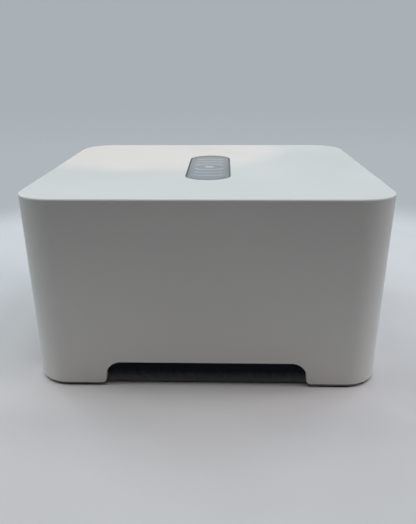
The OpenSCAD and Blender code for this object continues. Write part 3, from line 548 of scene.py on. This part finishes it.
class Shape:
    """Gathers simple solids in one mesh, in millimetres."""

    def __init__(self):
        self.mesh = bmesh.new()

    def points(self, places):
        return [self.mesh.verts.new(p) for p in places]

    def walls(self, a, b):
        """Quads between two loops with the same number of corners."""
        for i in range(len(a)):
            j = (i + 1) % len(a)
            self.mesh.faces.new((a[i], a[j], b[j], b[i]))

    def prism(self, outline, rise):
        """A flat outline carried along a vector."""
        foot = self.points(outline)
        top = self.points(Vector(p) + rise for p in outline)
        self.mesh.faces.new(foot[::-1])
        self.mesh.faces.new(top)
        self.walls(foot, top)

    def block(self, low, high):
        (x0, y0, z0), (x1, y1, z1) = low, high
        self.prism([(x0, y0, z0), (x1, y0, z0), (x1, y1, z0), (x0, y1, z0)], Vector((0, 0, z1 - z0)))

    def band(self, outer, inner, rise):
        """A flat ring between two outlines, carried along a vector."""
        loops = [self.points(outer), self.points(inner)]
        raised = [self.points(Vector(p) + rise for p in line) for line in (outer, inner)]
        self.walls(loops[0], loops[1])
        self.walls(raised[0], raised[1])
        self.walls(loops[0], raised[0])
        self.walls(loops[1], raised[1])

    def strip(self, line, side, width, thickness):
        """A flat strip bent along a line of points, square to the direction called side."""
        line = [Vector(p) for p in line]
        side = Vector(side)
        sections = []
        for i, p in enumerate(line):
            run = line[min(i + 1, len(line) - 1)] - line[max(i - 1, 0)]
            out = side.cross(run).normalized()
            sections.append(self.points(p + side * (u * width / 2) + out * (v * thickness / 2)
                                        for u, v in ((-1, -1), (1, -1), (1, 1), (-1, 1))))
        for a, b in zip(sections, sections[1:]):
            self.walls(a, b)
        self.mesh.faces.new(sections[0])
        self.mesh.faces.new(sections[-1])

    def hoop(self, centre, across, up, radius, wire, around=14, sides=6):
        """A closed round loop of wire in the plane of two directions."""
        across, up = Vector(across), Vector(up)
        axis = across.cross(up)
        sections = []
        for i in range(around):
            a = 2 * pi * i / around
            out = cos(a) * across + sin(a) * up
            core = Vector(centre) + radius * out
            turns = [2 * pi * k / sides for k in range(sides)]
            sections.append(self.points(core + wire * (cos(b) * out + sin(b) * axis) for b in turns))
        for i in range(around):
            self.walls(sections[i], sections[(i + 1) % around])


# How far ink stands out of a face and reaches into it, and where a probing line starts.
INK = 0.03
SUNK = 0.02
FAR_OFF = 200


class Print:
    """Marks on a flat face, placed by (right, up) from its origin, in ink that stands out by a height."""

    def __init__(self, shape, origin, right, up, height):
        self.shape = shape
        self.right, self.up = Vector(right).normalized(), Vector(up).normalized()
        out = self.right.cross(self.up)
        self.origin = Vector(origin) - SUNK * out
        self.rise = out * (height + SUNK)

    def placed(self, points):
        return [self.origin + u * self.right + v * self.up for u, v in points]

    def outline(self, points):
        self.shape.prism(self.placed(points), self.rise)

    def bar(self, u, v, width, height):
        a, b = width / 2, height / 2
        self.outline([(u - a, v - b), (u + a, v - b), (u + a, v + b), (u - a, v + b)])

    def turned(self, u, v, radius, start, end, steps):
        angles = [radians(start + (end - start) * i / steps) for i in range(steps + 1)]
        return [(u + radius * cos(a), v + radius * sin(a)) for a in angles]

    def dot(self, u, v, radius, sides=24):
        self.outline(self.turned(u, v, radius, 0, 360 - 360 / sides, sides - 1))

    def ring(self, u, v, radius, width, sides=32):
        lines = [self.turned(u, v, r, 0, 360 - 360 / sides, sides - 1)
                 for r in (radius + width / 2, radius - width / 2)]
        self.shape.band(*map(self.placed, lines), self.rise)

    def arc(self, u, v, radius, width, start, end, steps=16):
        """Part of a ring, from one angle to another in degrees."""
        outer = self.turned(u, v, radius + width / 2, start, end, steps)
        inner = self.turned(u, v, radius - width / 2, start, end, steps)
        self.outline(outer + inner[::-1])


def finish_piece(name, shape, slot, body="casing", look=None, smooth=False, bevel=0):
    """Turns a shape into an object that rides on a body, with a finish."""
    bmesh.ops.recalc_face_normals(shape.mesh, faces=shape.mesh.faces)
    bmesh.ops.scale(shape.mesh, vec=(MM, MM, MM), verts=shape.mesh.verts)
    mesh = bpy.data.meshes.new(name)
    shape.mesh.to_mesh(mesh)
    shape.mesh.free()
    mesh.materials.append(look or LOOKS[slot])
    if smooth:
        mesh.shade_smooth()
    piece = bpy.data.objects.new(name, mesh)
    scene.collection.objects.link(piece)
    if bevel:
        softened = piece.modifiers.new("soft_edges", "BEVEL")
        softened.width = bevel * MM
        softened.segments = 2
    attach(piece, body)


# ------------------------------------------------------------------ rear

JACK_PITCH = 16
MOUTH_FLOOR = 1.6
CONTACTS = 8
CONTACT_PITCH = 1.02
CONTACT_WIDTH = 0.46
CONTACT_THICKNESS = 0.24
# A contact's line, as (depth from the face, height over the mouth's floor).
CONTACT_LINE = ((1.4, 0.15), (2.0, 0.25), (2.8, 0.7), (9.6, 3.5), (10.6, 3.6), (12.4, 3.3))


def socket_places():
    """The middle of each network socket along Y, the single one first."""
    low, high = corners("lan_jack_block")
    count = round((high.y - low.y) / JACK_PITCH)
    row = [(low.y + high.y) / 2 + (i - (count - 1) / 2) * JACK_PITCH for i in range(count)]
    return [middle("wan_jack").y] + row


def socket_contacts():
    """Eight gold springs in each socket, rising from the mouth's floor towards its back."""
    shape = Shape()
    low = corners("lan_jack_block")[0]
    for y in socket_places():
        for i in range(CONTACTS):
            at = y + (i - (CONTACTS - 1) / 2) * CONTACT_PITCH
            line = [(low.x + x, at, low.z + MOUTH_FLOOR + z) for x, z in CONTACT_LINE]
            shape.strip(line, (0, 1, 0), CONTACT_WIDTH, CONTACT_THICKNESS)
    gold = metal("contact_gold", (0.80, 0.56, 0.20), 0.2)
    finish_piece("socket_contacts", shape, "standoff_brass", look=gold.material)


WINDOW_OUT = 5.3
WINDOW_DROP = 1.9
WINDOW_HALF = (1.3, 0.9)
WINDOW_PROUD = 0.15
WINDOW_DEEP = 1
LIGHT_KINDS = (("link_lights", -1, (0.10, 0.42, 0.10)), ("speed_lights", 1, (0.62, 0.34, 0.05)))


def socket_lights():
    """Two small light windows in the upper corners of each socket's face."""
    low, high = corners("lan_jack_block")
    z = high.z - WINDOW_DROP
    a, b = WINDOW_HALF
    for name, side, colour in LIGHT_KINDS:
        shape = Shape()
        for y in socket_places():
            at = y + side * WINDOW_OUT
            shape.block((low.x - WINDOW_PROUD, at - a, z - b), (low.x + WINDOW_DEEP, at + a, z + b))
        lens = moulded(name, colour, 0.22, 0.003)
        lens.set(Transmission_Weight=0.35)
        finish_piece(name, shape, "led_lens", look=lens.material, bevel=0.15)


MARK_RISE = 2.1
DOT_PITCH = 1.5
WAVE_RISE = 11.2
WAVE_R = 1.1


def globe_sign(marks, u, v):
    """A ring crossed by a bar and two curved lines, for the socket to the outside."""
    marks.ring(u, v, 1.3, 0.26)
    marks.bar(u, v, 2.4, 0.22)
    marks.arc(u - 1.15, v, 1.55, 0.22, -42, 42)
    marks.arc(u + 1.15, v, 1.55, 0.22, 138, 222)


def turning_arrow(marks, u, v):
    """An open ring with an arrow's head at its end, round the reset button."""
    marks.arc(u, v, 2.6, 0.26, 130, 410, steps=24)
    marks.outline([(u + a, v + b) for a, b in ((0.9, 1.75), (2.45, 1.35), (2.1, 2.9))])


def rear_marks():
    """White marks over the sockets and by the inlet: counting dots and plain signs."""
    shape = Shape()
    outside, *inside = socket_places()
    top = corners("lan_jack_block")[1].z + MARK_RISE
    panel = touch("rear_panel", (-FAR_OFF, outside, top), (1, 0, 0)).x
    marks = Print(shape, (panel, 0, 0), (0, -1, 0), (0, 0, 1), INK)
    for number, y in enumerate(inside, 1):
        for i in range(number):
            marks.dot(-y + (i - (number - 1) / 2) * DOT_PITCH, top, 0.42)
    globe_sign(marks, -outside, top)
    reset = middle("reset_button")
    turning_arrow(marks, -reset.y, reset.z)
    inlet = middle("inlet_pins")
    for side, start in ((-1, 0), (1, 180)):
        marks.arc(-inlet.y + side * WAVE_R, inlet.z + WAVE_RISE, WAVE_R, 0.3, start, start + 180)
    ink = moulded("mark_white", (0.72, 0.73, 0.74), 0.5, 0.004)
    finish_piece("rear_marks", shape, "badge_light", look=ink.material)


ROCKER_SIGN_AT = 3.9
ROCKER_PROBE = 0.8


def rocker_marks():
    """A bar and a ring on the two halves of the rocker."""
    shape = Shape()
    at = middle("power_rocker")
    for side in (-1, 1):
        height = at.z + side * ROCKER_SIGN_AT
        foot, head = (touch("power_rocker", (-FAR_OFF, at.y, height + v), (1, 0, 0))
                      for v in (-ROCKER_PROBE, ROCKER_PROBE))
        marks = Print(shape, (foot + head) / 2, (0, -1, 0), head - foot, INK)
        if side > 0:
            marks.bar(0, 0, 0.4, 2.6)
        else:
            marks.ring(0, 0, 1.15, 0.4)
    ink = moulded("rocker_ink", (0.70, 0.71, 0.72), 0.45, 0.004)
    finish_piece("rocker_marks", shape, "badge_light", body="power_rocker", look=ink.material)


# ------------------------------------------------------------------ front

FRONT_SIGN_DROP = 3.6
WALL_PROBE = 2
WAVES_FOOT = -1.2


def front_marks():
    """Small grey signs under the two buttons: waves for the radio, two links for pairing."""
    shape = Shape()
    z = corners("radio_button")[0].z - FRONT_SIGN_DROP
    foot, head = (touch("top_cover", (FAR_OFF, 0, z + v), (-1, 0, 0)) for v in (-WALL_PROBE, WALL_PROBE))
    signs = Print(shape, (foot + head) / 2, (0, 1, 0), head - foot, INK)
    radio, pair = middle("radio_button").y, middle("pair_button").y
    signs.dot(radio, WAVES_FOOT, 0.36)
    for radius in (1.1, 1.95, 2.8):
        signs.arc(radio, WAVES_FOOT, radius, 0.34, 45, 135)
    for side in (-1, 1):
        signs.ring(pair + side * 0.95, 0, 1.1, 0.32)
    ink = moulded("mark_grey", (0.27, 0.29, 0.30), 0.5, 0.004)
    finish_piece("front_marks", shape, "badge_grey", look=ink.material)


# ------------------------------------------------------------------ underside

LABEL_EDGE = 2.2
RULE = 0.25
HEAD_BAND = 7
HEAD_BAR = (22, 2.0)
HEAD_BAR_AT = -9
DIVIDER_AT = 4
ROW_WIDTHS = (20, 16, 18, 12, 15)
ROW_PITCH = 3.6
ROW_INSET = 2
BAR_HEIGHT = 0.9
RING_PITCH = 4.9
RIGHT_HALF_AT = 13.2


def label_print():
    """A frame, rules, plain bars and rings on the label, with nothing to read."""
    low, high = corners("rating_label")
    shape = Shape()
    a, b = ((high - low) / 2 - Vector((LABEL_EDGE, LABEL_EDGE, 0))).xy
    at = (low + high) / 2
    marks = Print(shape, (at.x, at.y, low.z), (1, 0, 0), (0, -1, 0), INK)
    for side in (-1, 1):
        marks.bar(0, side * b, 2 * a + RULE, RULE)
        marks.bar(side * a, 0, RULE, 2 * b)
    marks.bar(0, b - HEAD_BAND, 2 * a, RULE)
    marks.bar(HEAD_BAR_AT, b - HEAD_BAND / 2, *HEAD_BAR)
    marks.bar(DIVIDER_AT, -HEAD_BAND / 2, RULE, 2 * b - HEAD_BAND)
    for row, width in enumerate(ROW_WIDTHS):
        marks.bar(width / 2 - a + ROW_INSET, b - 1.5 * HEAD_BAND - row * ROW_PITCH, width, BAR_HEIGHT)
    for column in (-1, 0, 1):
        marks.ring(RIGHT_HALF_AT + column * RING_PITCH, -1, 1.6, 0.3)
    marks.bar(RIGHT_HALF_AT, -8.5, 12, BAR_HEIGHT)
    ink = moulded("label_ink", (0.05, 0.05, 0.055), 0.5, 0.003)
    finish_piece("label_print", shape, "badge_grey", look=ink.material)


# ------------------------------------------------------------------ inside

MAGNETICS_D = 14
MEMORY_D = 11
FINE_PITCH = 0.8
COARSE_PITCH = 1.3
# A leg's line, as (distance out from the package, height over the board), after its start.
LEG_FOOT = ((0.6, 0.1), (1.0, 0.1))
LEG_WIDTH = 0.35
LEG_THICKNESS = 0.14


def leg(shape, foot, along, rise):
    """A chip's leg: out of the package, down, and flat on the board."""
    out, up = Vector(along), Vector((0, 0, 1))
    line = [Vector(foot) + u * out + v * up for u, v in ((-0.1, rise), (0.3, rise), *LEG_FOOT)]
    shape.strip(line, out.cross(up), LEG_WIDTH, LEG_THICKNESS)


def row_places(low, high, pitch):
    """Evenly pitched places between two ends, as many as fit."""
    count = int((high - low - 1.2) / pitch)
    return [(low + high) / 2 + (i - (count - 1) / 2) * pitch for i in range(count)]


def legs_on_x(shape, low, high, pitch, rise):
    for y in row_places(low.y, high.y, pitch):
        leg(shape, (low.x, y, low.z), (-1, 0, 0), rise)
        leg(shape, (high.x, y, low.z), (1, 0, 0), rise)


def legs_on_y(shape, low, high, pitch, rise):
    for x in row_places(low.x, high.x, pitch):
        leg(shape, (x, low.y, low.z), (0, -1, 0), rise)
        leg(shape, (x, high.y, low.z), (0, 1, 0), rise)


def chip_legs():
    """The legs of the switch chip, the memory and the sockets' transformers."""
    shape = Shape()
    low, high = corners("switch_chip")
    legs_on_x(shape, low, high, FINE_PITCH, 0.7)
    legs_on_y(shape, low, high, FINE_PITCH, 0.7)
    low, high = corners("memory_chips")
    for y in (low.y, high.y - MEMORY_D):
        far_corner = Vector((high.x, y + MEMORY_D, high.z))
        legs_on_x(shape, Vector((low.x, y, low.z)), far_corner, FINE_PITCH, 0.5)
    low, high = corners("lan_magnetics")
    for y in (low.y, (low.y + high.y - MAGNETICS_D) / 2, high.y - MAGNETICS_D):
        far_corner = Vector((high.x, y + MAGNETICS_D, high.z))
        legs_on_x(shape, Vector((low.x, y, low.z)), far_corner, COARSE_PITCH, 1.2)
    finish_piece("chip_legs", shape, "screw_steel")


SMALL_PARTS = 110
SMALL_PARTS_SEED = 7
CLEARANCE = 2
REAR_MARGIN, FRONT_MARGIN, SIDE_MARGIN = 4, 8, 7
PART_HALF = (0.9, 0.5)
PART_HEIGHT = 0.55
END_AT = 0.7
END_HALF = (0.22, 0.53)
END_HEIGHT = 0.6
KEPT_FREE = ("lan_jack_block", "wan_jack", "lan_magnetics", "switch_chip", "heat_sink", "memory_chips",
             "board_capacitors", "card_socket", "radio_card", "reset_switch", "power_harness")


def small_parts():
    """Small surface-mounted parts on the open places of the main board."""
    draw = random.Random(SMALL_PARTS_SEED)
    low, high = corners("main_board")
    taken = [(a.x - CLEARANCE, a.y - CLEARANCE, b.x + CLEARANCE, b.y + CLEARANCE)
             for a, b in map(corners, KEPT_FREE)]
    bodies, ends = Shape(), Shape()
    placed = 0
    while placed < SMALL_PARTS:
        x = draw.uniform(low.x + REAR_MARGIN, high.x - FRONT_MARGIN)
        y = draw.uniform(low.y + SIDE_MARGIN, high.y - SIDE_MARGIN)
        long_x = draw.random() < 0.5
        if any(a < x < c and b < y < d for a, b, c, d in taken):
            continue
        a, b = PART_HALF if long_x else PART_HALF[::-1]
        bodies.block((x - a, y - b, high.z), (x + a, y + b, high.z + PART_HEIGHT))
        for side in (-1, 1):
            u, v = (x + side * END_AT, y) if long_x else (x, y + side * END_AT)
            p, q = END_HALF if long_x else END_HALF[::-1]
            ends.block((u - p, v - q, high.z), (u + p, v + q, high.z + END_HEIGHT))
        taken.append((x - CLEARANCE, y - CLEARANCE, x + CLEARANCE, y + CLEARANCE))
        placed += 1
    brown = moulded("chip_capacitor", (0.30, 0.20, 0.11), 0.5, 0.01, spread=0.2)
    finish_piece("small_parts", bodies, "board_tan", look=brown.material)
    finish_piece("small_part_ends", ends, "shield_tin")


TURNS = 11
TURN_STEP = 12
WIRE_R = 0.42


def choke_turns():
    """Enamelled copper turns round the filter choke's ring, in two groups."""
    low, high = corners("filter_choke")
    minor = (high.x - low.x) / 2
    major = (high.z - low.z) / 2 - minor
    shape = Shape()
    for group in (0, 180):
        for i in range(TURNS):
            a = radians(group + (i - (TURNS - 1) / 2) * TURN_STEP)
            out = Vector((0, cos(a), sin(a)))
            shape.hoop((low + high) / 2 + major * out, out, (1, 0, 0), minor + WIRE_R * 0.8, WIRE_R)
    copper = metal("enamelled_copper", (0.55, 0.20, 0.07), 0.24)
    finish_piece("choke_turns", shape, "choke_copper", look=copper.material, smooth=True)


# ------------------------------------------------------------------ stage and light

# Lengths from here on are in metres.
FLOOR_REACH = 0.36
# The floor's colour turns from near to far between two squares round the case, set a little towards -X:
# painted light, a paler band close to the case that lifts the soft shadow at its foot.
FLOOR_NEAR = (0.855, 0.805, 0.785)
FLOOR_FAR = (0.745, 0.713, 0.705)
NEAR_FROM = 0.071
NEAR_TO = 0.095
NEAR_SHIFT = 0.010
# The floor fades out between these two distances from the middle.
POOL_FROM = 0.215
POOL_TO = 0.30
BACKDROP_SPAN = (-0.16, -0.06)
BACKDROP_LOW = (0.430, 0.472, 0.505)
BACKDROP_HIGH = (0.397, 0.434, 0.468)
WORLD_SPAN = (-0.6, 0.6)
WORLD_FRONT = (0.0, 0.0, 0.0)
WORLD_REAR = (0.16, 0.16, 0.16)


def make_floor():
    """A round pale floor with painted light, lightest close to the case to lift the shadow round its foot,
    that fades softly into the backdrop.
    """
    mesh = bpy.data.meshes.new("floor")
    b = bmesh.new()
    bmesh.ops.create_circle(b, cap_ends=True, radius=FLOOR_REACH, segments=96)
    b.to_mesh(mesh)
    b.free()
    floor = bpy.data.objects.new("floor", mesh)
    scene.collection.objects.link(floor)
    t = Tree("floor_paper")
    away = t.vector_maths("LENGTH", t.place, output="Value")
    grain = t.noise(40, detail=3)
    near, far = (t.mottled(grain, colour, 0.99, 1.01) for colour in (FLOOR_NEAR, FLOOR_FAR))
    across = t.maths("ABSOLUTE", t.maths("ADD", t.axis("X"), NEAR_SHIFT))
    reach = t.maths("MAXIMUM", across, t.maths("ABSOLUTE", t.axis("Y")))
    # Painted light: the floor is paler near the case, lifting its contact shadow.
    painted_lift = t.mix(t.remap(reach, NEAR_FROM, NEAR_TO, smooth=True), near, far)
    t.set(Base_Color=painted_lift, Roughness=0.8, Alpha=t.remap(away, POOL_FROM, POOL_TO, 1.0, 0.0, smooth=True))
    t.shader.inputs["Specular IOR Level"].default_value = 0.1
    floor.data.materials.append(t.material)


def make_world():
    """A pale backdrop for the camera, and dim light that comes mostly from behind the case."""
    world = bpy.data.worlds.new("tent")
    scene.world = world
    world.use_nodes = True
    nodes, links = world.node_tree.nodes, world.node_tree.links
    nodes.clear()
    place = nodes.new("ShaderNodeTexCoord")
    apart = nodes.new("ShaderNodeSeparateXYZ")
    links.new(place.outputs["Generated"], apart.inputs[0])

    def graded(axis, span, low_colour, high_colour):
        """A background whose colour changes smoothly with one component of the direction."""
        share = nodes.new("ShaderNodeMapRange")
        share.interpolation_type = "SMOOTHSTEP"
        links.new(apart.outputs[axis], share.inputs["Value"])
        share.inputs["From Min"].default_value = span[0]
        share.inputs["From Max"].default_value = span[1]
        blend = nodes.new("ShaderNodeMix")
        blend.data_type = "RGBA"
        links.new(share.outputs["Result"], blend.inputs["Factor"])
        blend.inputs[6].default_value = (*low_colour, 1)
        blend.inputs[7].default_value = (*high_colour, 1)
        background = nodes.new("ShaderNodeBackground")
        links.new(blend.outputs[2], background.inputs["Color"])
        return background.outputs[0]

    lit = graded("Y", WORLD_SPAN, WORLD_FRONT, WORLD_REAR)
    seen = graded("Z", BACKDROP_SPAN, BACKDROP_LOW, BACKDROP_HIGH)
    path = nodes.new("ShaderNodeLightPath")
    mix = nodes.new("ShaderNodeMixShader")
    links.new(path.outputs["Is Camera Ray"], mix.inputs["Fac"])
    links.new(lit, mix.inputs[1])
    links.new(seen, mix.inputs[2])
    out = nodes.new("ShaderNodeOutputWorld")
    links.new(mix.outputs[0], out.inputs["Surface"])


# Each soft light: its name, where it is, what it faces, its diameter, its power and its colour.
SOFT_LIGHTS = (
    ("overhead", (0, 0, 0.75), (0, 0, 0), 0.8, 2.75, (0.94, 0.97, 1.0)),
    ("left", (-0.9, 0, 0.6), (0, 0, 0.04), 0.6, 2.21, (0.78, 0.945, 1.0)),
    ("right", (0.9, 0, 0.6), (0, 0, 0.04), 0.6, 2.79, (0.945, 0.95, 1.0)),
    ("rear_left", (-0.7, 0.6, 0.45), (0, 0, 0.04), 0.5, 2.65, (0.80, 0.86, 1.0)),
    ("rear_right", (0.7, 0.6, 0.45), (0, 0, 0.04), 0.5, 2.13, (0.61, 0.78, 1.0)),
    ("rear_top", (0, 0.6, 0.8), (0, 0, 0.03), 0.6, 0.80, (0.36, 0.95, 1.0)),
)
WARM_POWER = 2.1
WARM_COLOUR = (1, 0.56, 0.38)
WARM_SPREAD = 12.2
WARM_BLEND = 0.08
WARM_SIZE = 0.01
WARM_AT = (-0.028, 0.050)
WARM_RISE = 0.6


def add_light(name, kind, at, power, colour):
    data = bpy.data.lights.new(name, kind)
    data.energy = power
    data.color = colour
    light = bpy.data.objects.new(name, data)
    scene.collection.objects.link(light)
    light.location = at
    return light


def make_lights():
    """Soft lights overhead, on both sides and behind, and a weak warm patch on the top."""
    for name, at, towards, size, power, colour in SOFT_LIGHTS:
        light = add_light(name, "AREA", at, power, colour)
        light.data.shape = "DISK"
        light.data.size = size
        light.rotation_mode = "QUATERNION"
        light.rotation_quaternion = (Vector(towards) - Vector(at)).to_track_quat("-Z", "Y")
        light.visible_camera = False
    warm = add_light("warm", "SPOT", (*WARM_AT, CAD_BOX[1].z + WARM_RISE), WARM_POWER, WARM_COLOUR)
    warm.data.spot_size = radians(WARM_SPREAD)
    warm.data.spot_blend = WARM_BLEND
    warm.data.shadow_soft_size = WARM_SIZE


# ------------------------------------------------------------------ the scene

scene.view_settings.view_transform = "Standard"
make_camera()
make_world()
make_floor()
make_lights()

LOOKS = make_looks()
dress_nodes()
socket_contacts()
socket_lights()
rear_marks()
rocker_marks()
front_marks()
label_print()
chip_legs()
small_parts()
choke_turns()
